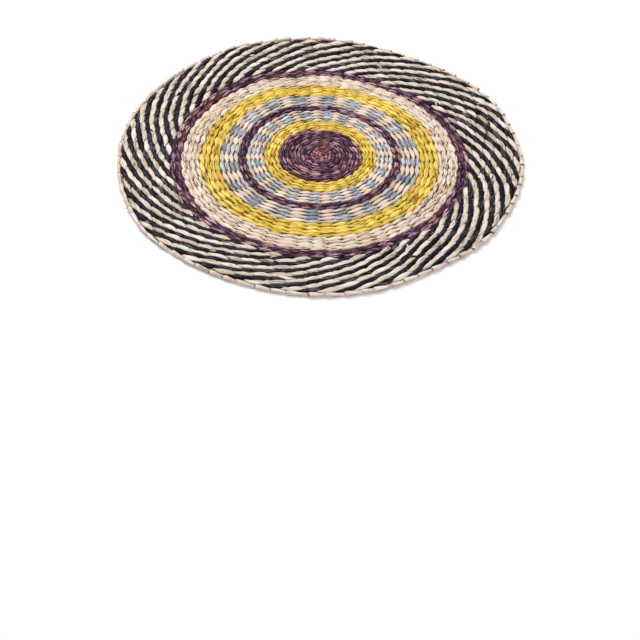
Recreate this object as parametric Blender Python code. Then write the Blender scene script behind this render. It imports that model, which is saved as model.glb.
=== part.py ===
"""A round placemat of twined seagrass, lying flat.

Two solids make it: the woven disc, which is worked in one piece from the middle outwards, and
the edge cord, which is laid round it and held by the turned-over spoke ends.

Lengths are in metres, +Z is up and +Y is the far side of the table. The origin is at the middle
of the underside.
"""

import math

import bmesh
import bpy

# The finished mat, to the outside of its edge cord.
MAT_RADIUS = 0.190

# The edge cord is a little lower than the last woven round.
CORD_WIDTH = 0.0046
CORD_HEIGHT = 0.0046
CORD_SIDES = 8

# What is left open between the last woven round and the cord.
SEAT_GAP = 0.0003

# The last woven round curves in by this much at its top and at its underside.
EDGE_CURVE = 0.0010

# Points round the rim.
STATIONS = 120

# Where hand work has let the rim out (a rise above 0) or drawn it in (below 0). Each row is one
# soft swelling or hollow: the angle of its middle from +X, its height and its reach to each side.
RIM_SWELLINGS = (
    # angle_deg, rise, reach_deg
    (2, 0.0023, 14),
    (28, 0.0034, 10),
    (62, -0.0044, 13),
    (78, -0.0010, 7),
    (100, 0.0020, 7),
    (117, 0.0034, 8),
    (155, -0.0015, 16),
    (181, -0.0011, 15),
    (217, 0.0025, 9),
    (245, -0.0010, 14),
    (305, -0.0055, 16),
    (335, -0.0016, 9),
)

# The strands are fine at the middle and stouter at the rim, so the mat thickens outwards, from
# band to band, to what the border has at the rim. outer_share is a part of the mat's radius.
BORDER_THICKNESS = 0.0050
INNER_BANDS = (
    # name, outer_share, thickness
    ("centre", 0.205, 0.0040),
    ("inner check", 0.400, 0.0042),
    ("outer check", 0.490, 0.0044),
    ("plain rounds", 0.715, 0.0046),
)

# (red, green, blue), roughness
CREAM_SEAGRASS = ((0.72, 0.60, 0.44), 0.62)
EDGE_SEAGRASS = ((0.66, 0.56, 0.42), 0.66)


def clear_scene():
    for thing in list(bpy.data.objects):
        bpy.data.objects.remove(thing, do_unlink=True)


def rim_radius(angle):
    """Outside of the finished mat at an angle in radians."""
    radius = MAT_RADIUS
    for middle_deg, rise, reach_deg in RIM_SWELLINGS:
        away = math.degrees(angle) - middle_deg
        away = (away + 180) % 360 - 180
        radius += rise * math.exp(-((away / reach_deg) ** 2))
    return radius


def woven_radius(share, angle):
    """Radius of a woven round. The inner rounds are true circles, and the rounds near the rim
    follow its swellings more and more."""
    swelling = rim_radius(angle) / MAT_RADIUS - 1
    return MAT_RADIUS * share * (1 + swelling * share**2)


def last_round_radius(angle):
    return rim_radius(angle) - CORD_WIDTH - SEAT_GAP


def ring(mesh, radius_at, height):
    """One closed ring of points at a height, with a radius that depends on the angle."""
    points = []
    for station in range(STATIONS):
        angle = 2 * math.pi * station / STATIONS
        radius = radius_at(angle)
        place = (radius * math.cos(angle), radius * math.sin(angle), height)
        points.append(mesh.verts.new(place))
    return points


def join_rings(mesh, first, second):
    """Four-sided faces from one ring to the next."""
    for station in range(STATIONS):
        after = (station + 1) % STATIONS
        corners = (first[station], first[after], second[after], second[station])
        mesh.faces.new(corners)


def seagrass(name, colour, roughness):
    material = bpy.data.materials.new(name)
    material.use_nodes = True
    surface = material.node_tree.nodes["Principled BSDF"]
    surface.inputs["Base Color"].default_value = (*colour, 1)
    surface.inputs["Roughness"].default_value = roughness
    surface.inputs["Metallic"].default_value = 0
    return material


def finish(mesh, name, finish_of):
    """Turns the faces outwards and puts the solid in the scene."""
    bmesh.ops.recalc_face_normals(mesh, faces=mesh.faces)
    data = bpy.data.meshes.new(name)
    mesh.to_mesh(data)
    mesh.free()
    data.materials.append(seagrass(name, *finish_of))
    solid = bpy.data.objects.new(name, data)
    bpy.context.scene.collection.objects.link(solid)


def woven_disc():
    """The woven body: a flat underside, a rounded edge and a top that steps up band by band."""
    mesh = bmesh.new()

    def curved_in(angle):
        return last_round_radius(angle) - EDGE_CURVE

    rings = [
        ring(mesh, curved_in, 0),
        ring(mesh, last_round_radius, 0.3 * BORDER_THICKNESS),
        ring(mesh, last_round_radius, 0.7 * BORDER_THICKNESS),
        ring(mesh, curved_in, BORDER_THICKNESS),
    ]
    for _name, outer_share, thickness in reversed(INNER_BANDS):

        def band_edge(angle, share=outer_share):
            return woven_radius(share, angle)

        rings.append(ring(mesh, band_edge, thickness))
    for lower, upper in zip(rings, rings[1:]):
        join_rings(mesh, lower, upper)
    for lid in (rings[0], rings[-1]):
        mesh.faces.new(lid)
    finish(mesh, "woven_disc", CREAM_SEAGRASS)


def edge_cord():
    """The cord round the rim, flat where it lies on the table."""
    mesh = bmesh.new()
    # A regular outline with a flat side down, stretched to the cord's width and height.
    half_step = math.pi / CORD_SIDES
    to_flat = 1 / math.cos(half_step)
    rings = []
    for side in range(CORD_SIDES):
        turn = (2 * side + 1) * half_step
        outwards = 0.5 * CORD_WIDTH * to_flat * math.cos(turn)
        upwards = 0.5 * CORD_HEIGHT * to_flat * math.sin(turn)

        def cord_side(angle, offset=outwards - 0.5 * CORD_WIDTH):
            return rim_radius(angle) + offset

        rings.append(ring(mesh, cord_side, 0.5 * CORD_HEIGHT + upwards))
    for first, second in zip(rings, rings[1:] + rings[:1]):
        join_rings(mesh, first, second)
    finish(mesh, "edge_cord", EDGE_SEAGRASS)


clear_scene()
woven_disc()
edge_cord()
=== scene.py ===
# %% [markdown]
# # A round mat of twined seagrass
#
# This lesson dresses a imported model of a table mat. The real mat is basketwork: stiff spokes run out
# from the middle like the spokes of a wheel, and soft strands of dyed seagrass are twined round them,
# two at a time, from the middle to the rim. Twining means that one strand passes over a spoke while
# its partner passes under it, and that the two change places before the next spoke. Everything that
# the eye likes about the mat, such as its swirl, its checks and its rope-like rings, follows from how
# many spokes each round crosses and from which two colours are twined. So the lesson builds strands,
# not a picture of strands. A patterned disc with bump would be quicker, but it would look printed.
#
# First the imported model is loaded. It is the fixed frame, and it is never moved.

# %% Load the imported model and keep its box
import math

import bmesh
import bpy
import numpy as np
from mathutils import Matrix, Vector


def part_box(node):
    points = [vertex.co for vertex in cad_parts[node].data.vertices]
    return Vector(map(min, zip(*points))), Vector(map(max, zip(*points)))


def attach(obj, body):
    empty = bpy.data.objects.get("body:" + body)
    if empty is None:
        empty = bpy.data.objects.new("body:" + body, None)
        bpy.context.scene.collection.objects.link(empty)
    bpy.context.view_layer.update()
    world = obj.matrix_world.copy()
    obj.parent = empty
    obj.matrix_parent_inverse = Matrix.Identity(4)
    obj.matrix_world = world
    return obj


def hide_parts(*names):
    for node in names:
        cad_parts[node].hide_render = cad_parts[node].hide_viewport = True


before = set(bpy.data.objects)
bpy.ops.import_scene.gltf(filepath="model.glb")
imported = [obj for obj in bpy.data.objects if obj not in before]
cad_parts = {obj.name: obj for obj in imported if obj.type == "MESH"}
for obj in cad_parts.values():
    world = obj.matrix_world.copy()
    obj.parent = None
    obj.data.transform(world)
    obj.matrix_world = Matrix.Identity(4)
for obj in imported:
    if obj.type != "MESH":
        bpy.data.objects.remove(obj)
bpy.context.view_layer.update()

# %% [markdown]
# ## The outline and the thickness
#
# A hand-made mat is never a true circle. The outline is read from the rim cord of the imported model:
# its furthest point in each direction. The thickness is read from the top of the woven disc. Reading
# them, instead of typing them again, keeps the strands on the solid whatever size it is.

# %% Read the outline from the rim cord
FULL_TURN = 2 * math.pi


def corners(node):
    """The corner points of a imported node, one row for each."""
    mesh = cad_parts[node].data
    points = np.empty(len(mesh.vertices) * 3)
    mesh.vertices.foreach_get("co", points)
    return points.reshape(-1, 3)


cord_points = corners("edge_cord")
cord_angles = np.arctan2(cord_points[:, 1], cord_points[:, 0]) % FULL_TURN
cord_distances = np.hypot(cord_points[:, 0], cord_points[:, 1])
RIM_STATIONS = 120
station_angles = np.arange(RIM_STATIONS) * FULL_TURN / RIM_STATIONS
nearest_station = np.rint(cord_angles / FULL_TURN * RIM_STATIONS).astype(int) % RIM_STATIONS
station_radii = np.array([cord_distances[nearest_station == k].max() for k in range(RIM_STATIONS)])
mat_radius = station_radii.mean()


def outline(angle):
    """The distance from the middle to the rim in a direction."""
    return np.interp(angle, station_angles, station_radii, period=FULL_TURN)


print(f"mean radius {mat_radius * 1000:.1f} mm, "
      f"from {station_radii.min() * 1000:.1f} to {station_radii.max() * 1000:.1f} mm")

# %% Read the thickness from the top of the disc
disc_points = corners("woven_disc")
disc_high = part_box("woven_disc")[1]
disc_top = disc_points[disc_points[:, 2] > disc_high.z / 2]
top_shares = np.hypot(disc_top[:, 0], disc_top[:, 1])
top_shares = top_shares / outline(np.arctan2(disc_top[:, 1], disc_top[:, 0]))
top_order = np.argsort(top_shares)


def mat_thickness(share):
    """How thick the mat is, where share is 0 in the middle and 1 at the rim."""
    return np.interp(share, top_shares[top_order], disc_top[top_order, 2])


print("thickness in mm:", [round(float(mat_thickness(s)) * 1000, 1) for s in (0.1, 0.3, 0.45, 0.6, 0.85)])

# %% [markdown]
# ## One long spiral
#
# The twining is one spiral. It starts in the middle and runs clockwise, and each turn of it is a
# round. The table below lists the bands in the order in which they are woven: how many rounds each
# has, where it ends, and how many spokes it crosses in a round. Spokes are added as the mat grows:
# here from one band to the next, and in the centre also on the way out.
# Where the count is even, each strand comes over the same spokes in every round, so that two colours
# stand in columns. Where it is odd, the strands change places from round to round, and two colours
# climb in a swirl. That one number makes the border, so there is nothing to draw.

# %% The bands, from the middle to the rim
# columns: name, rounds, share of the radius where the band ends, spokes in a round where it ends
BANDS = (
    ("centre", 12, 0.207, 22),
    ("inner yellow", 4, 0.279, 28),
    ("inner check", 4, 0.365, 40),
    ("inner line", 2, 0.405, 40),
    ("outer check", 4, 0.498, 40),
    ("outer yellow", 4, 0.590, 50),
    ("cream", 4, 0.679, 60),
    ("outer line", 2, 0.734, 60),
    ("border", 9, 0.9775, 79),
)
band_names = [row[0] for row in BANDS]
round_edges = np.concatenate([[0], np.cumsum([row[1] for row in BANDS])])
share_edges = np.array([0.0] + [row[2] for row in BANDS])
ROUND_WIDTHS = np.diff(share_edges) / np.diff(round_edges)
BORDER_SPOKES = BANDS[-1][3]
SPIRAL_START = math.radians(106)
EASE_FROM = 0.80
EASE_OVER = 0.16
SEAM_SHARE = 0.07


def spiral_angle(turn):
    """The direction in which the spiral has got to after so many rounds."""
    return SPIRAL_START - FULL_TURN * turn


def spiral_share(turn):
    """How far out the spiral has got, as a share of the radius.

    A spiral ends with a step, but the rim is round. So the outer rounds of the border are eased in or
    out, all the way round, until the last one follows the rim."""
    share = np.interp(turn, round_edges, share_edges)
    past_end = (turn - round_edges[-1]) % 1.0
    near_end = np.clip(np.minimum(past_end, 1 - past_end) / SEAM_SHARE, 0, 1)
    ease = ROUND_WIDTHS[-1] * (0.5 - past_end) * near_end
    reach = np.clip((share - EASE_FROM) / EASE_OVER, 0, 1)
    return share + ease * reach * reach * (3 - 2 * reach)


def round_width(turn):
    """The width of one round there, in metres."""
    middles = (round_edges[1:] + round_edges[:-1]) / 2
    return np.interp(turn, middles, ROUND_WIDTHS) * mat_radius


print(f"{round_edges[-1]} rounds; a round is {ROUND_WIDTHS.min() * mat_radius * 1000:.1f} to "
      f"{ROUND_WIDTHS.max() * mat_radius * 1000:.1f} mm wide")

# %% [markdown]
# ## From the spiral to the table top
#
# Three things bend the spiral. The rounds follow the outline more and more as they near the rim. The
# rings are a little off centre, oval and three-cornered, because the weaver pulled some sides tighter.
# And every round wanders by a few tenths of a millimetre. The wander is a sum of slow waves whose
# phase drifts from round to round, so that neighbours wander nearly together, but not quite alike.

# %% Place a point of a round on the mat
# columns: share, how far the ring's middle lies to the right and away, how oval the ring is and how
# three-cornered, all as shares of the radius
RING_DRIFT = np.array((
    (0.00, 0.015, 0.009, 0.000, 0.000),
    (0.24, 0.010, 0.009, 0.001, 0.002),
    (0.39, 0.005, 0.003, 0.004, 0.005),
    (0.54, 0.007, -0.007, 0.007, 0.006),
    (0.70, 0.006, -0.023, -0.002, 0.003),
    (0.82, 0.002, -0.009, 0.000, 0.001),
    (1.00, 0.000, 0.000, 0.000, 0.000),
))
OVAL_TOWARDS = math.radians(80)
CORNER_TOWARDS = math.radians(-18)
WANDER_WAVES = (2, 3, 5, 7, 11, 16)
WANDER_SIZE = 0.00016
wander_dice = np.random.default_rng(11)
wander_starts = wander_dice.uniform(0, FULL_TURN, len(WANDER_WAVES))
wander_drifts = wander_dice.uniform(-0.5, 0.5, len(WANDER_WAVES))


def wander(turn):
    """How far a round strays from its place, in metres."""
    angle = spiral_angle(turn)
    waves = zip(WANDER_WAVES, wander_starts, wander_drifts)
    return WANDER_SIZE * sum(np.sin(n * angle + start + drift * turn) for n, start, drift in waves)


def on_mat(angle, share, sideways=0.0):
    """The place (x, y) of a share of the radius in a direction, moved outwards by sideways metres."""
    swelling = outline(angle) / mat_radius - 1
    right, away, oval, cornered = (
        np.interp(share, RING_DRIFT[:, 0], RING_DRIFT[:, column]) * mat_radius for column in (1, 2, 3, 4)
    )
    distance = mat_radius * share * (1 + swelling * share**2) + sideways
    distance = distance + oval * np.cos(2 * (angle - OVAL_TOWARDS))
    distance = distance + cornered * np.cos(3 * (angle - CORNER_TOWARDS))
    return np.stack([right + distance * np.cos(angle), away + distance * np.sin(angle)], -1)


STRAY_SAMPLES = 4000
strays = np.abs(wander(np.linspace(0, round_edges[-1], STRAY_SAMPLES)))
print(f"a round strays by {strays.max() * 1000:.2f} mm at most")

# %% [markdown]
# ## Uneven spokes
#
# The spokes are not evenly spaced either. In the outer half the weaver put more of them on the far
# side than on the near side, and each one leans a little. The strands only know how many spokes they
# have crossed, so the unevenness is a small turn that is added to their angle before the count.

# %% Count the spokes that a strand has crossed
CROWDING_SHARES = (0.45, 0.60)
CROWDING = (0.02, 0.09)
CROWDED_SIDE = math.radians(85)
LEAN_WAVES = (3, 5, 8, 13, 21)
LEAN_SIZE = math.radians(0.30)
lean_starts = np.random.default_rng(12).uniform(0, FULL_TURN, len(LEAN_WAVES))


def spokes_crossed(turn, spokes):
    """How many spokes lie between the direction of +X and the strand, counted clockwise."""
    angle = spiral_angle(turn)
    crowding = np.interp(spiral_share(turn), CROWDING_SHARES, CROWDING)
    lean = sum(LEAN_SIZE * np.sin(n * angle + start) for n, start in zip(LEAN_WAVES, lean_starts))
    return -(angle + crowding * np.sin(angle - CROWDED_SIDE) + lean) / FULL_TURN * spokes


last_rounds = round_edges[-1] - np.array([2, 1])
border_count = float(np.diff(spokes_crossed(last_rounds, BORDER_SPOKES))[0])
print("the border counts", round(border_count, 2), "spokes a round")

# %% [markdown]
# ## A strand as a tube of rings
#
# A strand could be a curve with a bevel, but then its width and its thickness could not change from
# stitch to stitch. So each strand is a row of rings, and each ring is a slightly squared oval with a
# few soft ribs, because the strand is a bundle of thin leaves with a light twist. The ribs turn
# slowly along the strand. A ring faces along the path, and its broad side lies level.

# %% Build the rings of a strand
SIDES = 12
RIBS = 4
RIB_DEPTH = 0.07
OVAL_FULLNESS = 0.95
AROUND = np.arange(SIDES) * FULL_TURN / SIDES


def frames_along(path):
    """At each point of a path: the direction across it, level with the table, and the one above it."""
    along = np.gradient(path, axis=0)
    along /= np.linalg.norm(along, axis=1, keepdims=True)
    across = np.cross(along, (0.0, 0.0, 1.0))
    across /= np.linalg.norm(across, axis=1, keepdims=True)
    return across, np.cross(across, along)


def strand_rings(path, half_width, half_thick, rib_turn):
    """The points of every ring of a strand, one row of SIDES points for each point of the path."""
    across, above = frames_along(path)
    cos, sin = np.cos(AROUND), np.sin(AROUND)
    wide = np.sign(cos) * np.abs(cos) ** OVAL_FULLNESS
    high = np.sign(sin) * np.abs(sin) ** OVAL_FULLNESS
    ribs = 1 + RIB_DEPTH * np.cos(RIBS * AROUND[None, :] + rib_turn[:, None])
    wide = (wide * ribs * half_width[:, None])[:, :, None] * across[:, None, :]
    high = (high * ribs * half_thick[:, None])[:, :, None] * above[:, None, :]
    return path[:, None, :] + wide + high


print("a ring has", SIDES, "points and", RIBS, "ribs")

# %% [markdown]
# ## Many strands in one piece
#
# Hundreds of rings become one mesh. Every point also carries two small notes for the finish: `grain`
# says how far along and round the strand it lies, so that streaks can run lengthwise, and `stitch`
# holds chance numbers for the tone and the tint of each stitch, and how near the point lies to the
# upper or the lower face of the mat. Deep between the stitches that last number is near zero, and the
# finish uses it to paint shade there.
#
# The mesh also gets a flat map in which the strand is cut into long strips, laid side by side. An
# automatic unwrap would tear thousands of stitches into crumbs, and strips keep them whole.

# %% Lay the strands out as strips on a flat map
STRIP_INSET = 0.06
MAP_EDGE = 0.004


def strip_corners(cells, first, count, strips):
    """The map's left, right, low and high edges for a run of cells: stretches of strand, in order."""
    per_strip = math.ceil(cells / strips)
    cell = first + np.arange(count)
    strip = cell // per_strip
    left = MAP_EDGE + (cell % per_strip) / per_strip * (1 - 2 * MAP_EDGE)
    right = left + (1 - 2 * MAP_EDGE) / per_strip
    low = (strip + STRIP_INSET) / strips
    high = (strip + 1 - STRIP_INSET) / strips
    return left, right, low, high


def strand_map(rings, cells, first, strips):
    """The map's corners for the side faces of a strand, and for the fans of faces at its two ends."""
    count = len(rings) - 1
    left, right, low, high = strip_corners(cells, first, count + 2, strips)
    up = np.arange(SIDES + 1) / SIDES
    rise = low[:, None] + up[None, :] * (high - low)[:, None]
    side = np.empty((count, SIDES, 4, 2))
    inner = slice(1, count + 1)
    side[:, :, 0, 0] = side[:, :, 3, 0] = left[inner, None]
    side[:, :, 1, 0] = side[:, :, 2, 0] = right[inner, None]
    side[:, :, 0, 1] = side[:, :, 1, 1] = rise[inner, :-1]
    side[:, :, 2, 1] = side[:, :, 3, 1] = rise[inner, 1:]
    ends = np.empty((2, SIDES, 3, 2))
    for end, cell, base, tip in ((0, 0, right, left), (1, count + 1, left, right)):
        ends[end, :, :2, 0] = base[cell]
        ends[end, :, 0, 1] = rise[cell, :-1]
        ends[end, :, 1, 1] = rise[cell, 1:]
        ends[end, :, 2] = tip[cell], (low[cell] + high[cell]) / 2
    ends[1] = ends[1][:, [1, 0, 2]]
    return side, ends


print("a strip is inset by", STRIP_INSET, "of its height")

# %% Join strands into one mesh
def into_scene(name, data):
    """A new object in the scene, with this mesh, light or camera."""
    thing = bpy.data.objects.new(name, data)
    bpy.context.scene.collection.objects.link(thing)
    return thing


def faces_of(rings, base):
    """The side faces and the end faces of a strand whose first point has the number base."""
    count = len(rings)
    start = base + np.arange(count - 1)[:, None] * SIDES
    here = start + np.arange(SIDES)[None, :]
    there = start + (np.arange(SIDES)[None, :] + 1) % SIDES
    side = np.stack([here, here + SIDES, there + SIDES, there], -1)
    first, last = base + count * SIDES, base + count * SIDES + 1
    loop = np.arange(SIDES)
    nearer = np.stack([base + loop, base + (loop + 1) % SIDES, np.full(SIDES, first)], -1)
    far = base + (count - 1) * SIDES
    further = np.stack([far + (loop + 1) % SIDES, far + loop, np.full(SIDES, last)], -1)
    return side, np.stack([nearer, further])


def note(mesh, name, values):
    """Stores one row of three numbers for each point of a mesh."""
    layer = mesh.attributes.new(name, "FLOAT_VECTOR", "POINT")
    layer.data.foreach_set("vector", np.ascontiguousarray(values, dtype=np.float32).ravel())


def piece_from_strands(name, strands, finish):
    """One object from a list of strands, each with its rings, its grain and its stitch notes."""
    cells = sum(len(s["rings"]) + 1 for s in strands)
    length = sum(np.linalg.norm(np.diff(s["rings"].mean(1), axis=0), axis=1).sum() for s in strands)
    girth = np.mean([np.linalg.norm(np.diff(s["rings"], axis=1), axis=2).sum(1).mean() for s in strands])
    strips = max(1, round(math.sqrt(length / girth)))
    points, faces, flat_map, grain, stitch = [], [], [], [], []
    base = cell = 0
    for s in strands:
        rings = s["rings"]
        points += [rings.reshape(-1, 3), rings[[0, -1]].mean(1)]
        side, ends = faces_of(rings, base)
        side_map, end_map = strand_map(rings, cells, cell, strips)
        faces += side.reshape(-1, 4).tolist() + ends.reshape(-1, 3).tolist()
        flat_map += [side_map.reshape(-1, 2), end_map.reshape(-1, 2)]
        grain += [s["grain"].reshape(-1, 3), s["grain"][[0, -1]].mean(1)]
        stitch += [s["stitch"].reshape(-1, 3), s["stitch"][[0, -1]].mean(1)]
        base += rings.shape[0] * SIDES + 2
        cell += len(rings) + 1
    mesh = bpy.data.meshes.new(name)
    mesh.from_pydata(np.concatenate(points).tolist(), [], faces)
    flat = mesh.uv_layers.new(name="OFBake")
    flat.data.foreach_set("uv", np.concatenate(flat_map).astype(np.float32).ravel())
    note(mesh, "grain", np.concatenate(grain))
    note(mesh, "stitch", np.concatenate(stitch))
    mesh.materials.append(finish)
    mesh.shade_smooth()
    piece = into_scene(name, mesh)
    triangles = sum(len(f) - 2 for f in faces)
    print(f"{name}: {len(strands)} strands, {length:.1f} m, {triangles} triangles, {strips} strips")
    return piece


print("each ring adds", SIDES, "faces, and each end", SIDES)

# %% [markdown]
# ## The stitch
#
# A twined strand is a flattened helix. On top of a spoke it is broad and nearly level. Between two
# spokes it narrows, dives and passes its partner. Seen from above, each stitch slants: it starts at
# the inner side of its round and ends at the outer side. The chance numbers make each stitch a
# little wider, higher or further out than the next, and they run on smoothly from one to the next.

# %% Shape one strand of a twined pair
STEPS = 8
DIVE_SHARPNESS = 0.7
HALF_THICK = 0.235
LAST_SHARE = 0.989
GRAIN_ALONG = 110.0
GRAIN_AROUND = 1.9
GRAIN_STARTS = 500
RIB_TURNS = 0.35
CHANCE_HOLD = 0.25
TIP_SIZE = 0.3


def chance_along(dice, place, low=-1.0, high=1.0):
    """A chance number for each whole place, which holds over the stitch and then blends into the next."""
    first = math.floor(place.min())
    values = dice.uniform(low, high, math.ceil(place.max()) - first + 2)
    index = np.floor(place).astype(int) - first
    blend = np.clip((place - np.floor(place) - CHANCE_HOLD) / (1 - 2 * CHANCE_HOLD), 0, 1)
    blend = blend * blend * (3 - 2 * blend)
    return values[index] * (1 - blend) + values[index + 1] * blend


def tapered(count, fade):
    """A factor that is 1 along a strand and shrinks to TIP_SIZE over its first and last few rings."""
    from_end = np.minimum(np.arange(count), np.arange(count)[::-1])
    return TIP_SIZE + (1 - TIP_SIZE) * np.sqrt(np.clip(from_end / fade, 0, 1))


def finished_strand(path, half_width, half_thick, rib_turn, place, total, dice):
    """A strand with its rings and the notes that its finish reads. total is the mat's thickness there."""
    rings = strand_rings(path, half_width, half_thick, rib_turn)
    steps = np.linalg.norm(np.diff(path, axis=0), axis=1)
    along = np.concatenate([[0], np.cumsum(steps)]) * GRAIN_ALONG + dice.uniform(0, GRAIN_STARTS)
    turned = AROUND[None, :] + rib_turn[:, None] / RIBS
    grain = np.stack([
        np.repeat(along[:, None], SIDES, 1),
        GRAIN_AROUND * np.cos(turned),
        GRAIN_AROUND * np.sin(turned),
    ], -1)
    tone = np.repeat(chance_along(dice, place, 0, 1)[:, None], SIDES, 1)
    tint = np.repeat(chance_along(dice, place, 0, 1)[:, None], SIDES, 1)
    # how near a face each point lies; the finish paints shade where this is low, deep between the stitches
    openness = np.abs(2 * rings[:, :, 2] / np.reshape(total, (-1, 1)) - 1)
    return {"rings": rings, "grain": grain, "stitch": np.stack([tone, tint, openness], -1)}


print(STEPS, "rings to a stitch")

# %% Follow the spiral with one strand
# how much chance there is in a stitch's place, thickness, width, side and height (in metres)
PLACE_CHANCE = 0.05
THICK_CHANCE = 0.06
WIDTH_CHANCE = 0.08
SIDE_CHANCE = 0.06
HEIGHT_CHANCE = 0.0001
# a few stitches are much fatter: those whose chance number is above FAT_ABOVE
FAT_ABOVE = 0.8
FAT_GAIN = 0.8
# the last round gets narrower before it ends: rounds before the end, and how wide it is there
END_ROUNDS = (-0.16, 0.0, 0.04)
END_WIDTHS = (1.0, 0.55, 0.3)
END_FADE = 1.2
PLAIN_HOLD = 0.3


def lift_of(phase, hold):
    """How high a strand is, from -1 under a spoke to 1 over it. With hold it stays up for longer."""
    cosine = np.cos(phase) + hold
    over = (np.clip(cosine, 0, None) / (1 + hold)) ** DIVE_SHARPNESS
    under = (np.clip(-cosine, 0, None) / (1 - hold)) ** DIVE_SHARPNESS
    return over - under


def twined_strand(seed, start, end, spokes, partner, column=0.0, swing=0.15, broad=0.53, narrow=0.18,
                  hold=PLAIN_HOLD, pointed=0.7, jitter=1.0):
    """One strand of a pair, twined from one round to another. partner is 0 or 1, for the two strands.

    column is an angle in degrees where the strand called 1 lies on top. swing is how much a stitch
    slants, broad and narrow are its half widths on top and between two spokes, all as shares of the
    round, and pointed is how soon it narrows: with a low number only near its ends."""
    dice = np.random.default_rng(seed)
    rings = int(round((end - start) * spokes * STEPS)) + 1
    turn = np.linspace(start, end, rings)
    column_place = -math.radians(column) / FULL_TURN * spokes
    place = spokes_crossed(turn, spokes) - column_place + 1 + partner
    phase = math.pi * (place + PLACE_CHANCE * jitter * chance_along(dice, place))
    width = round_width(turn)
    share = spiral_share(turn)
    squeeze = np.interp(turn - round_edges[-1], END_ROUNDS, END_WIDTHS)
    share = np.minimum(share, LAST_SHARE - squeeze * width / 2 / mat_radius)
    total = mat_thickness(share)
    half_thick = HALF_THICK * total * (1 + THICK_CHANCE * jitter * chance_along(dice, place))
    reach = total / 2 - half_thick
    plump = np.clip(chance_along(dice, place) - FAT_ABOVE, 0, 1)
    fat = 1 + jitter * (WIDTH_CHANCE * chance_along(dice, place) + FAT_GAIN * plump)
    slant = swing * np.sin(phase) + SIDE_CHANCE * jitter * chance_along(dice, place)
    sideways = width * slant + wander(turn)
    end_taper = tapered(rings, END_FADE * STEPS)
    flat_part = narrow + (broad - narrow) * np.abs(np.cos(phase)) ** pointed
    half_width = width * squeeze * fat * flat_part * end_taper
    height = total / 2 + reach * lift_of(phase, hold) + HEIGHT_CHANCE * jitter * chance_along(dice, place)
    height = np.maximum(height, half_thick * (1 + RIB_DEPTH))
    path = np.column_stack([on_mat(spiral_angle(turn), share, sideways), height])
    rib_turn = FULL_TURN * RIB_TURNS * place + dice.uniform(0, FULL_TURN)
    return finished_strand(path, half_width, half_thick * end_taper, rib_turn, place, total, dice)


print("a plain strand is up for", round(math.acos(-PLAIN_HOLD) / math.pi, 2), "of its way")

# %% [markdown]
# ## The finishes
#
# Dyed seagrass has three scales of colour. Each stitch took the dye a little differently, so it has
# its own tone. Along it run streaks, because the strand is many leaves. And here and there a leaf or
# a whole stitch shows another tint altogether, such as rust in the purple. One recipe makes them all:
# streak noise and tone choose a colour from a short ramp, from the darkest stop to the most bleached
# leaf, and the tint note lays a stray colour over a few stitches. A much slower noise along the strand
# stands for the bundle it came from: some bundles took more dye, and some hold more stray leaves.
# The note of how near a face a point lies pulls the choice towards the dark end, so the colour is
# painted darker deep between the stitches: painted shade in the crevices. The streaks also raise the bump.

# %% A recipe for dyed seagrass
def feed(tree, socket, value):
    """Gives an input a value, or a link from another node's output."""
    if isinstance(value, bpy.types.NodeSocket):
        tree.links.new(value, socket)
    else:
        socket.default_value = value


def add_node(tree, kind, inputs=(), **settings):
    """Adds a node, sets its properties and feeds its inputs."""
    node = tree.nodes.new(kind)
    for key, value in settings.items():
        setattr(node, key, value)
    for key, value in dict(inputs).items():
        feed(tree, node.inputs[key], value)
    return node


def combine(tree, operation, first, second, clamp=False):
    """A Math node; each of its two inputs is a socket or a number."""
    node = add_node(tree, "ShaderNodeMath", operation=operation, use_clamp=clamp)
    for socket, value in zip(node.inputs, (first, second)):
        feed(tree, socket, value)
    return node.outputs["Value"]


def noise_from(tree, vector, scale, detail, roughness=0.55):
    """A noise texture's value on a vector."""
    inputs = {"Scale": scale, "Detail": detail, "Roughness": roughness, "Vector": vector}
    return add_node(tree, "ShaderNodeTexNoise", inputs).outputs["Fac"]


def linear(colour):
    """A colour as the eye reads it, 0 to 255, as the light values that Blender wants."""
    values = [c / 255 for c in colour]
    return [c / 12.92 if c <= 0.04045 else ((c + 0.055) / 1.055) ** 2.4 for c in values] + [1.0]


def ramp(tree, factor, stops):
    """A colour ramp from a list of (place, colour)."""
    node = add_node(tree, "ShaderNodeValToRGB", {"Fac": factor})
    elements = node.color_ramp.elements
    while len(elements) < len(stops):
        elements.new(0.5)
    for element, (place, colour) in zip(elements, stops):
        element.position = place
        element.color = linear(colour)
    return node.outputs["Color"]


def pushed(tree, value, amount):
    """A value from 0 to 1, as a push up or down by half of amount at most."""
    return combine(tree, "MULTIPLY", combine(tree, "SUBTRACT", value, 0.5), amount)


def new_finish(name):
    """An empty finish, its node tree and its shader."""
    finish = bpy.data.materials.new(name)
    finish.use_nodes = True
    return finish, finish.node_tree, finish.node_tree.nodes["Principled BSDF"]


def add_relief(tree, shader, heights, depth):
    """Lets a height value raise the surface, by depth metres at most."""
    inputs = {"Strength": BUMP_STRENGTH, "Distance": depth, "Height": heights}
    relief = add_node(tree, "ShaderNodeBump", inputs)
    feed(tree, shader.inputs["Normal"], relief.outputs["Normal"])


# how fine the noise is for the streaks, the single leaves and the bundles
STREAK_SCALE = 1.0
LEAF_SCALE = 2.6
BUNDLE_SCALE = 0.12
MIDDLE_SHADE = 0.56
BUMP_STRENGTH = 0.5
BUMP_DEPTH = 0.0005


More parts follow.
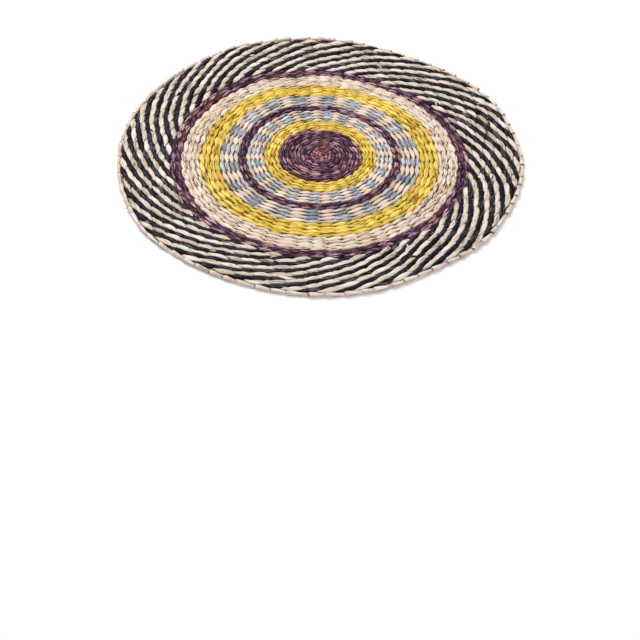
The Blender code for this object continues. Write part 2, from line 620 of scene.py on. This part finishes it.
def dyed_seagrass(name, shades, tints, tint_share, tint_strength, streak=0.8, tone=0.4, shade=0.6,
                  full_at=0.75, leafy=0.25, bundle=0.2, rough=0.5, shine=0.3):
    """A finish for strands. shades run from the darkest to the palest, tints are the stray colours.

    streak, tone, shade and bundle say how much the streaks, the stitch, the painted shade and the bundle
    count. full_at is how near a face the painted shade ends, and leafy breaks the strays up into leaves."""
    finish, tree, shader = new_finish(name)
    feed(tree, shader.inputs["Specular IOR Level"], shine)
    grain = add_node(tree, "ShaderNodeAttribute", attribute_name="grain").outputs["Vector"]
    stitch = add_node(tree, "ShaderNodeAttribute", attribute_name="stitch").outputs["Vector"]
    notes = add_node(tree, "ShaderNodeSeparateXYZ", {"Vector": stitch}).outputs
    streaks = noise_from(tree, grain, STREAK_SCALE, 3.0, 0.6)
    leaves = noise_from(tree, grain, LEAF_SCALE, 2.0)
    bundles = noise_from(tree, grain, BUNDLE_SCALE, 1.0)
    dyed_more = pushed(tree, bundles, bundle)
    mixed = pushed(tree, streaks, 2.0 * streak)
    fine = pushed(tree, leaves, 0.6 * streak)
    own = pushed(tree, notes["X"], tone)
    # painted shade: the lower a point lies between the stitches, the further its colour is pushed towards the
    # dark end of the ramp
    depth = {"Value": notes["Z"], "From Min": 0.10, "From Max": full_at, "To Min": -shade, "To Max": 0.0}
    deep = add_node(tree, "ShaderNodeMapRange", depth, interpolation_type="SMOOTHSTEP")
    value = combine(tree, "ADD", combine(tree, "ADD", mixed, fine), own)
    value = combine(tree, "ADD", value, deep.outputs["Result"])
    value = combine(tree, "ADD", value, dyed_more)
    value = combine(tree, "ADD", value, MIDDLE_SHADE, clamp=True)
    base = ramp(tree, value, list(zip(np.linspace(0.08, 0.92, len(shades)), shades)))
    pick = combine(tree, "ADD", notes["X"], pushed(tree, leaves, 0.4))
    stray = ramp(tree, pick, list(zip(np.linspace(0.1, 0.9, len(tints)), tints)))
    wobbly = combine(tree, "ADD", notes["Y"], pushed(tree, streaks, leafy))
    wobbly = combine(tree, "ADD", wobbly, dyed_more)
    limits = {"Value": wobbly, "From Min": 0.97 - tint_share, "From Max": 1.03 - tint_share}
    limits["To Max"] = tint_strength
    chosen = add_node(tree, "ShaderNodeMapRange", limits, interpolation_type="SMOOTHSTEP")
    layers = {"Factor": chosen.outputs["Result"], "A": base, "B": stray}
    mix = add_node(tree, "ShaderNodeMix", layers, data_type="RGBA")
    feed(tree, shader.inputs["Base Color"], mix.outputs["Result"])
    dull = combine(tree, "ADD", combine(tree, "MULTIPLY", leaves, 0.3), rough - 0.15)
    feed(tree, shader.inputs["Roughness"], dull)
    heights = combine(tree, "ADD", streaks, combine(tree, "MULTIPLY", leaves, 0.5))
    add_relief(tree, shader, heights, BUMP_DEPTH)
    return finish


print("streaks stand up by", BUMP_DEPTH * 1000, "mm at most")

# %% Mix the dyes
# The darkest shade of each ramp is the colour of the painted shade deep between the stitches. Where full_at
# is near 1 (purple, heart, lines) the painted shade climbs the flanks, so only the crest stays bright: a
# painted highlight along each strand.
PURPLES = ((22, 6, 18), (62, 26, 50), (98, 52, 78), (136, 90, 112), (202, 160, 168))
PURPLE_STRAYS = (
    (112, 50, 60), (86, 62, 116), (78, 74, 96), (156, 84, 90), (194, 142, 112), (204, 164, 164),
)
purple_dye = dyed_seagrass("purple_dye", PURPLES, PURPLE_STRAYS, 0.22, 0.75, streak=1.9, shade=0.8,
                           full_at=1.0, leafy=1.6, bundle=0.9, shine=0.12)
ROSES = ((48, 20, 28), (110, 58, 70), (150, 90, 98), (180, 118, 120), (214, 164, 160))
ROSE_STRAYS = ((92, 52, 78), (196, 150, 110))
heart_dye = dyed_seagrass("heart_dye", ROSES, ROSE_STRAYS, 0.3, 0.7, streak=1.5, shade=0.7,
                          full_at=1.0, leafy=1.6, bundle=0.6, shine=0.12)
LINES = ((16, 4, 14), (50, 22, 42), (82, 46, 68), (120, 84, 100), (214, 178, 180))
LINE_STRAYS = ((104, 24, 46), (66, 40, 108), (116, 36, 48), (150, 60, 40))
line_dye = dyed_seagrass("line_dye", LINES, LINE_STRAYS, 0.25, 0.6, streak=1.8, shade=0.8, full_at=0.95,
                         leafy=2.4, bundle=0.6, shine=0.12)
YELLOWS = ((112, 72, 0), (190, 150, 24), (216, 182, 56), (230, 199, 80), (246, 220, 118))
YELLOW_STRAYS = ((190, 188, 56), (222, 190, 136), (204, 148, 54))
yellow_dye = dyed_seagrass("yellow_dye", YELLOWS, YELLOW_STRAYS, 0.14, 0.7, streak=1.45, tone=0.5,
                           shade=0.62, full_at=0.78, leafy=0.6)
CREAMS = ((100, 82, 64), (188, 164, 142), (216, 194, 174), (228, 208, 190), (242, 226, 210))
CREAM_STRAYS = ((206, 176, 144), (218, 214, 178), (228, 196, 186), (224, 218, 208))
cream_leaf = dyed_seagrass("cream_leaf", CREAMS, CREAM_STRAYS, 0.3, 0.6)
RING_CREAMS = ((84, 62, 48), (186, 158, 136), (217, 193, 172), (228, 207, 188), (243, 228, 212))
ring_leaf = dyed_seagrass("ring_leaf", RING_CREAMS, CREAM_STRAYS, 0.22, 0.6, streak=1.6, tone=0.3,
                          shade=0.75, leafy=0.6)
BORDER_LEAVES = ((84, 72, 62), (184, 168, 152), (210, 194, 178), (222, 208, 194), (238, 226, 214))
BORDER_STRAYS = ((198, 170, 142), (208, 210, 176), (226, 200, 190), (230, 222, 212))
# full_at 0.86 carries the painted shade higher up the border stitches, which paints a dark outline along
# their edges and ends
border_leaf = dyed_seagrass("border_leaf", BORDER_LEAVES, BORDER_STRAYS, 0.35, 0.55, streak=1.2,
                            full_at=0.86, leafy=0.5)
BLUES = ((44, 52, 56), (108, 116, 120), (144, 150, 154), (172, 176, 180), (222, 220, 220))
BLUE_STRAYS = ((92, 128, 128), (122, 132, 164), (168, 164, 164), (196, 190, 202))
blue_dye = dyed_seagrass("blue_dye", BLUES, BLUE_STRAYS, 0.45, 0.65, streak=1.2, tone=0.5)
PALE_BLUES = ((44, 50, 54), (124, 128, 130), (160, 164, 166), (190, 192, 194), (236, 232, 232))
PALE_BLUE_STRAYS = ((132, 158, 162), (150, 154, 184), (188, 180, 180), (212, 204, 220))
pale_blue_dye = dyed_seagrass("pale_blue_dye", PALE_BLUES, PALE_BLUE_STRAYS, 0.45, 0.65, streak=1.2, tone=0.5)
# the palest black shade is partly pale fibre and partly painted highlight, in place of the gloss that the low
# shine leaves out
BLACKS = ((0, 0, 0), (2, 1, 3), (7, 6, 10), (20, 18, 26), (92, 88, 98))
BLACK_STRAYS = ((16, 14, 50), (40, 14, 44), (6, 32, 36))
black_dye = dyed_seagrass("black_dye", BLACKS, BLACK_STRAYS, 0.4, 0.6, streak=1.6, leafy=0.6, rough=0.42,
                          shine=0.08)
NATURALS = ((158, 134, 120), (200, 180, 166), (218, 202, 190), (228, 216, 206), (240, 230, 222))
NATURAL_STRAYS = ((212, 170, 162), (210, 202, 172))
natural_leaf = dyed_seagrass("natural_leaf", NATURALS, NATURAL_STRAYS, 0.3, 0.6, shade=0.15)
TIPS = ((104, 74, 60), (150, 118, 100), (188, 158, 140), (212, 187, 172))
cut_tip = dyed_seagrass("cut_tip", TIPS, ((100, 60, 48), (134, 104, 80)), 0.35, 0.7, tone=0.7, shade=0.2)
print("finishes:", [m.name for m in bpy.data.materials])

# %% [markdown]
# ## The spokes
#
# Under the twining lie the spokes, bundles of stiff undyed leaf. Only a dark glimpse of them shows
# between the stitches. They are made as one thin ribbed sheet that fills the middle of the mat, from
# edge to edge, with the border's number of ribs all the way in. Single spokes would be truer, but
# they are hidden. This piece was made to the mat's own size, and it lies on the table.

# %% Make the layer of spokes
SPOKE_SHARE = 0.985
SPOKE_HALF_THICK = 0.0004
SPOKE_RIB = 0.00028
LAYER_ROUNDS = 24
LAYER_STATIONS = 4 * BORDER_SPOKES
SPOKE_MOTTLE = 260.0
SPOKE_BUMP_DEPTH = 0.0004


def spoke_layer_mesh():
    """A closed ribbed disc in the middle of the mat's thickness."""
    angle = np.arange(LAYER_STATIONS) * FULL_TURN / LAYER_STATIONS
    share = np.linspace(0, SPOKE_SHARE, LAYER_ROUNDS + 1)[1:]
    grid_angle, grid_share = np.meshgrid(angle, share)
    ribs = SPOKE_RIB * np.cos(BORDER_SPOKES * grid_angle) * np.clip(grid_share * 3, 0, 1)
    flat = on_mat(grid_angle, grid_share)
    middle = mat_thickness(grid_share) / 2
    thick = SPOKE_HALF_THICK * np.where(grid_share < SPOKE_SHARE, 1.0, 0.3)
    top = np.dstack([flat, middle + thick + ribs])
    bottom = np.dstack([flat, middle - thick + ribs])
    return top, bottom


def layer_piece(name, finish):
    """The layer as an object, with its two faces and its rim joined up."""
    top, bottom = spoke_layer_mesh()
    rounds, stations = top.shape[:2]
    sheet = bmesh.new()
    rows = []
    for side, grid in (("top", top), ("bottom", bottom)):
        hub = sheet.verts.new((*on_mat(0.0, 0.0), grid[0, :, 2].mean()))
        rows.append((hub, [[sheet.verts.new(p) for p in row] for row in grid]))
    for (hub, grid), order in zip(rows, (1, -1)):
        for k in range(stations):
            ahead = (k + 1) % stations
            sheet.faces.new([hub, grid[0][k], grid[0][ahead]][::order])
            for r in range(rounds - 1):
                ring = [grid[r][k], grid[r + 1][k], grid[r + 1][ahead], grid[r][ahead]]
                sheet.faces.new(ring[::order])
    for k in range(stations):
        ahead = (k + 1) % stations
        outer_top, outer_bottom = rows[0][1][-1], rows[1][1][-1]
        sheet.faces.new([outer_top[k], outer_bottom[k], outer_bottom[ahead], outer_top[ahead]])
    mesh = bpy.data.meshes.new(name)
    sheet.to_mesh(mesh)
    sheet.free()
    mesh.materials.append(finish)
    mesh.shade_smooth()
    piece = into_scene(name, mesh)
    print(name, len(mesh.polygons), "faces")
    return piece


def spoke_finish():
    """Undyed leaf coloured dark brown, as painted shade for the gaps between the stitches, with a fine
    mottle.
    """
    finish, tree, shader = new_finish("spoke_leaf")
    where = add_node(tree, "ShaderNodeTexCoord").outputs["Object"]
    mottle = noise_from(tree, where, SPOKE_MOTTLE, 3.0)
    # dark browns: painted shade for the glimpses of spoke between the stitches
    colour = ramp(tree, mottle, [(0.3, (44, 30, 22)), (0.5, (84, 60, 42)), (0.72, (128, 98, 70))])
    feed(tree, shader.inputs["Base Color"], colour)
    dull = combine(tree, "ADD", combine(tree, "MULTIPLY", mottle, 0.2), 0.65)
    feed(tree, shader.inputs["Roughness"], dull)
    add_relief(tree, shader, mottle, SPOKE_BUMP_DEPTH)
    return finish


spoke_layer = layer_piece("spoke_layer", spoke_finish())

# %% [markdown]
# ## The rings, one band at a time
#
# A plain ring is a pair of strands of one colour, kept in one piece. In a check ring, the two strands
# of the pair differ, and each is its own piece, because each has its own finish. The blue columns
# of the two check rings stand in line, because both rings cross the same forty spokes.

# %% Twine the plain rings and the lines
PAIR = (0, 1)


def twined_band(name, band, finish, seed, partners=PAIR, **shape):
    """A band as one piece: both strands of the pair, or one of them where the colours differ."""
    index = band_names.index(band)
    start, end, spokes = float(round_edges[index]), float(round_edges[index + 1]), BANDS[index][3]
    strands = [twined_strand(seed + p, start, end, spokes, p, **shape) for p in partners]
    return piece_from_strands(name, strands, finish)


INNER_YELLOW_SHAPE = {"swing": 0.18, "broad": 0.5, "narrow": 0.16, "pointed": 0.7, "jitter": 1.4}
inner_yellow = twined_band("inner_yellow_rounds", "inner yellow", yellow_dye, 210, **INNER_YELLOW_SHAPE)
inner_line = twined_band("inner_line_rounds", "inner line", line_dye, 230)
outer_yellow = twined_band("outer_yellow_rounds", "outer yellow", yellow_dye, 250, pointed=0.5, jitter=1.4)
cream_rounds = twined_band("cream_rounds", "cream", ring_leaf, 260, pointed=0.45, jitter=1.6)
outer_line = twined_band("outer_line_rounds", "outer line", line_dye, 279)

# %% Twine the two check rings
BLUE_COLUMN = 14.3
CHECK_CREAM = {"column": BLUE_COLUMN, "broad": 0.49, "hold": 0.52, "pointed": 0.9}
CHECK_BLUE = {"column": BLUE_COLUMN, "broad": 0.46, "hold": 0.12, "pointed": 0.9}
inner_check_cream = twined_band("inner_check_cream", "inner check", cream_leaf, 220, (0,), **CHECK_CREAM)
inner_check_blue = twined_band("inner_check_blue", "inner check", pale_blue_dye, 220, (1,), **CHECK_BLUE)
outer_check_cream = twined_band("outer_check_cream", "outer check", cream_leaf, 240, (0,), **CHECK_CREAM)
outer_check_blue = twined_band("outer_check_blue", "outer check", blue_dye, 240, (1,), **CHECK_BLUE)

# %% [markdown]
# ## The middle
#
# The mat starts with twelve spokes, and more are laid in as the rounds grow, up to twenty-two at the
# edge of the purple. So the stitches grow to about ten millimetres and then stay near that. Each
# count is a run of its own. The first three rounds are a rose heart, and the rest is purple. These
# strands are the thinnest and least even ones, so their stitches get narrow tops that hardly taper,
# which leaves long gaps, and much chance.

# %% Twine the middle
# columns: round where it starts, round where it ends, spokes
HEART_STEPS = ((0.5, 3.2, 12),)
CENTRE_STEPS = ((3.2, 6.4, 13), (6.4, 8.2, 14), (8.2, 10.0, 18), (10.0, 12.0, 22))
MIDDLE_SHAPE = {"broad": 0.47, "narrow": 0.26, "jitter": 1.4}


def centre_piece(name, steps, finish, seed):
    """The rounds of the middle for a few runs of spokes, as one piece."""
    strands = [
        twined_strand(seed + 2 * n + p, start, end, spokes, p, **MIDDLE_SHAPE)
        for n, (start, end, spokes) in enumerate(steps)
        for p in PAIR
    ]
    return piece_from_strands(name, strands, finish)


heart_rounds = centre_piece("heart_rounds", HEART_STEPS, heart_dye, 200)
centre_rounds = centre_piece("centre_rounds", CENTRE_STEPS, purple_dye, 400)

# %% [markdown]
# ## The swirl border
#
# The border is nine rounds of one cream and one black strand over seventy-nine spokes. The odd count
# makes the colours change places in every round, so the slanting stitches of one colour run on into
# each other and climb from ring to rim as a swirl. Here the stitches slant more, stay on top for
# longer and end in a point, because each one lies along its stripe and overlaps the next. The price
# is an underside that is more open than the top. It lies on the table, where it doesn't show.

# %% Twine the border
BORDER_SHAPE = {"swing": 0.28, "broad": 0.51, "narrow": 0.30, "hold": 0.52, "pointed": 1.1, "jitter": 1.6}
border_cream = twined_band("border_cream", "border", border_leaf, 280, (0,), **BORDER_SHAPE)
border_black = twined_band("border_black", "border", black_dye, 280, (1,), **BORDER_SHAPE)

# %% [markdown]
# ## The rim
#
# The rim is finished with the spokes themselves. Each spoke end is bent over clockwise and laid along
# the edge until it passes the next spoke, where it is cut off square. So the rim is a row of short
# overlapping lengths, each of which grows out from under the last one and ends in a small brown cut.
# A thin cord is laid below them here, to fill the edge.

# %% Make the rim cord
RIM_CORD_HALF = 0.0013
RIM_CORD_RINGS = 1400
RIM_CORD_TURNS = 1.004
RIM_CORD_INSET = 0.0020
RIM_CORD_HEIGHT = 0.0017
# the rim pieces' painted shade is measured against this thickness: points near its middle height are painted
# darker
RIM_THICK = 0.0046


def rim_path(angle, inset, height):
    """Points near the rim: inset metres inside the outline, at a height."""
    distance = outline(angle) - inset
    return np.column_stack([distance * np.cos(angle), distance * np.sin(angle), height])


def rim_cord_strand():
    """The cord that runs round the rim, one closed turn whose ends overlap."""
    dice = np.random.default_rng(300)
    angle = np.linspace(0, FULL_TURN * RIM_CORD_TURNS, RIM_CORD_RINGS) + SPIRAL_START
    place = angle / FULL_TURN * BORDER_SPOKES * 2
    half = RIM_CORD_HALF * (1 + WIDTH_CHANCE * chance_along(dice, place)) * tapered(RIM_CORD_RINGS, 6)
    height = RIM_CORD_HEIGHT + HEIGHT_CHANCE * chance_along(dice, place)
    path = rim_path(angle, RIM_CORD_INSET, height)
    return finished_strand(path, half * 1.2, half, 1.2 * place, place, RIM_THICK, dice)


rim_cord = piece_from_strands("rim_cord", [rim_cord_strand()], natural_leaf)

# %% Lay the spoke ends along the rim
TURNED_RINGS = 20
TURNED_HALF = 0.0016
CUT_RINGS = 4
CUT_FROM = 0.95
CUT_FATNESS = 0.85
OUT_FROM = 0.85
OUT_OVER = 0.15
# inset and height of a spoke end where it leaves the rounds
LEAVES_AT = (0.0050, 0.0018)


def turned_path(k, run):
    """Where the end of spoke k lies. run is 0 where it leaves the rounds and 1 at its cut."""
    dice = np.random.default_rng((310, k))
    spacing = FULL_TURN / BORDER_SPOKES
    first_inset, first_height = LEAVES_AT
    start = -(k + dice.uniform(-0.15, 0.15)) * spacing
    angle = start - spacing * dice.uniform(1.05, 1.4) * run
    bent = np.clip(run / 0.4, 0, 1)
    inset = first_inset + (dice.uniform(0.0015, 0.0021) - first_inset) * np.sin(bent * math.pi / 2)
    inset = inset - dice.uniform(0.0, 0.0012) * np.clip(run / OUT_OVER - OUT_FROM / OUT_OVER, 0, 1)
    lift = np.clip(run / 0.7, 0, 1) ** 0.7
    height = first_height + (dice.uniform(0.0029, 0.0034) - first_height) * lift
    half = TURNED_HALF * dice.uniform(0.8, 1.25) * (0.55 + 0.45 * np.clip(run * 1.3, 0, 1))
    return rim_path(angle, inset, height), half


def turned_end(k, first, last, rings, fatter):
    """A stretch of the end of spoke k, as a strand."""
    run = np.linspace(first, last, rings)
    path, half = turned_path(k, run)
    half = half * fatter
    dice = np.random.default_rng((320, k))
    place = run * 2 + 10 * k
    return finished_strand(path, half * 1.1, half * 0.72, 3 * run, place, RIM_THICK, dice)


rim_range = range(BORDER_SPOKES)
turned_ends = [turned_end(k, 0.0, CUT_FROM, TURNED_RINGS, 1.0) for k in rim_range]
turned_ends = piece_from_strands("turned_ends", turned_ends, natural_leaf)
FAINT_CUTS = 0.2
cut_dice = np.random.default_rng(321)
brown_cuts = [k for k in rim_range if cut_dice.random() > FAINT_CUTS]
cut_ends = [turned_end(k, CUT_FROM, 1.0, CUT_RINGS, CUT_FATNESS) for k in brown_cuts]
cut_ends = piece_from_strands("cut_ends", cut_ends, cut_tip)

# %% [markdown]
# ## Loose ends
#
# Strands are short, so the weaver keeps joining new ones. The joins leave small ends
# on the face, and one of them, near the front edge, lies askew over a black stitch. A few thin fibres
# stand up from the weave as well. They are small, but a mat without them looks like a machine's. The
# root of each one is sunk a little, so that it grows out of the weave.

# %% Lay the ends and the fibres on the weave
ROOT_DEPTH = 0.0012
END_RINGS = 9
END_ARCH = 0.0004
FIBRE_HALF = 0.00016
JOIN_COUNT = 30
FIBRE_COUNT = 16
WHISKER_COUNT = 14


def loose_end(angle, share, heading, length, half, rise, dice):
    """A short strand on the weave, which starts at a place and lies in a heading, both in degrees."""
    run = np.linspace(0, 1, END_RINGS)
    start = on_mat(math.radians(angle), share)
    towards = math.radians(heading)
    bend = dice.uniform(-0.25, 0.25)
    along = np.column_stack([np.cos(towards + bend * run), np.sin(towards + bend * run)])
    flat = start + length * run[:, None] * along
    height = mat_thickness(share) - half * 0.6 + rise * run + END_ARCH * np.sin(math.pi * run)
    height = height - ROOT_DEPTH * (1 - run) ** 2
    path = np.column_stack([flat, height])
    girth = half * (0.55 + 0.45 * np.sin(math.pi * np.clip(run, 0.1, 0.9)))
    place = run * 1.5 + dice.uniform(0, 90)
    return finished_strand(path, girth, girth * 0.7, run * 2, place, mat_thickness(share), dice)


end_dice = np.random.default_rng(330)
chance = end_dice.uniform
cream_ends = [loose_end(255.5, 0.885, -32, 0.027, 0.0026, 0.0, end_dice)]
black_ends = []
for n in range(JOIN_COUNT):
    angle, share = chance(0, 360), chance(0.74, 0.95)
    askew = angle - 90 + chance(-35, 60)
    end = loose_end(angle, share, askew, chance(0.004, 0.009), chance(0.0005, 0.0010),
                    chance(0.0, 0.0006), end_dice)
    (cream_ends if n % 2 else black_ends).append(end)
for n in range(FIBRE_COUNT):
    angle, share = chance(0, 360), chance(0.3, 0.97)
    fibre = loose_end(angle, share, chance(0, 360), chance(0.004, 0.010), FIBRE_HALF,
                      chance(0.0005, 0.0035), end_dice)
    cream_ends.append(fibre)
for n in range(WHISKER_COUNT):
    angle = chance(0, 360)
    whisker = loose_end(angle, 0.985, angle + chance(-75, 45), chance(0.003, 0.009),
                        FIBRE_HALF, chance(-0.001, 0.003), end_dice)
    cream_ends.append(whisker)
cream_ends = piece_from_strands("cream_loose_ends", cream_ends, border_leaf)
black_ends = piece_from_strands("black_loose_ends", black_ends, black_dye)

# %% [markdown]
# ## Put each piece on the body
#
# Every piece rides on the one body and stands for the solid that it hides.

# %% Ride and replace
disc_pieces = [
    spoke_layer, heart_rounds, centre_rounds, inner_yellow, inner_check_cream, inner_check_blue, inner_line,
    outer_check_cream, outer_check_blue, outer_yellow, cream_rounds, outer_line,
    border_cream, border_black, cream_ends, black_ends,
]
rim_pieces = [rim_cord, turned_ends, cut_ends]
for piece in disc_pieces:
    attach(piece, "root")
    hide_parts("woven_disc")
for piece in rim_pieces:
    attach(piece, "root")
    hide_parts("edge_cord")
print(len(disc_pieces) + len(rim_pieces), "pieces")

# %% [markdown]
# ## The table, the light and the camera
#
# The mat lies on a plain pale table top. One large soft light stands behind it to the left, so that
# each stitch shows a bright upper side and a soft shaded lower side, and a weaker one fills in from
# the front. The camera looks down at about forty degrees, a little turned, as a person at a table does.

# %% Lay the table top
TABLE_SIZE = 6.0
PAPER_WHITE = (0.9, 0.9, 0.9, 1)
PAPER_ROUGHNESS = 0.9
floor_mesh = bpy.data.meshes.new("table_top")
half = TABLE_SIZE / 2
table_corners = [(-half, -half, 0), (half, -half, 0), (half, half, 0), (-half, half, 0)]
floor_mesh.from_pydata(table_corners, [], [(0, 1, 2, 3)])
floor = into_scene("table_top", floor_mesh)
paper, _, paper_shader = new_finish("pale_paper")
paper_shader.inputs["Base Color"].default_value = PAPER_WHITE
paper_shader.inputs["Roughness"].default_value = PAPER_ROUGHNESS
floor_mesh.materials.append(paper)
print("the table top is", TABLE_SIZE, "m wide")

# %% Set the lights
def soft_light(name, place, target, size, power):
    """A square area light at a place, turned towards a target."""
    lamp = bpy.data.lights.new(name, "AREA")
    lamp.shape = "SQUARE"
    lamp.size = size
    lamp.energy = power
    holder = into_scene(name, lamp)
    holder.location = place
    holder.rotation_euler = (Vector(target) - Vector(place)).to_track_quat("-Z", "Y").to_euler()
    print(name, power, "W")


soft_light("window_light", (-0.7, 0.9, 1.7), (0, 0, 0), 1.6, 36)
soft_light("fill_light", (0.9, -1.4, 1.5), (0, 0, 0), 1.4, 12)
ROOM_STRENGTH = 0.5
world = bpy.data.worlds.new("pale_room")
world.use_nodes = True
world.node_tree.nodes["Background"].inputs["Color"].default_value = (1, 1, 1, 1)
world.node_tree.nodes["Background"].inputs["Strength"].default_value = ROOM_STRENGTH
bpy.context.scene.world = world
bpy.context.scene.view_settings.view_transform = "Standard"

# %% Place the camera
CAMERA_DISTANCE = 1.71
SENSOR_WIDTH = 36
CAMERA_ELEVATION = math.radians(38.93)
CAMERA_LENS = 102.2
AIM_BELOW = math.radians(5.175)
AIM_RIGHT = math.radians(0.27)
CAMERA_ROLL = math.radians(2.0)
away_from_mat = Vector((0, -math.cos(CAMERA_ELEVATION), math.sin(CAMERA_ELEVATION)))
eye = CAMERA_DISTANCE * away_from_mat
eye.z += mat_thickness(0.6)
pitch = CAMERA_ELEVATION + AIM_BELOW
ahead = Vector((math.sin(AIM_RIGHT), math.cos(AIM_RIGHT), 0))
forward = ahead * math.cos(pitch) - Vector((0, 0, math.sin(pitch)))
level = Vector((math.cos(AIM_RIGHT), -math.sin(AIM_RIGHT), 0))
above = level.cross(forward)
right = level * math.cos(CAMERA_ROLL) + above * math.sin(CAMERA_ROLL)
up = above * math.cos(CAMERA_ROLL) - level * math.sin(CAMERA_ROLL)
camera_data = bpy.data.cameras.new("camera")
camera_data.lens = CAMERA_LENS
camera_data.sensor_width = SENSOR_WIDTH
camera = into_scene("camera", camera_data)
turn = Matrix((right, up, -forward)).transposed()
camera.matrix_world = Matrix.Translation(eye) @ turn.to_4x4()
bpy.context.scene.camera = camera
print("the camera is at", [round(v, 3) for v in eye])
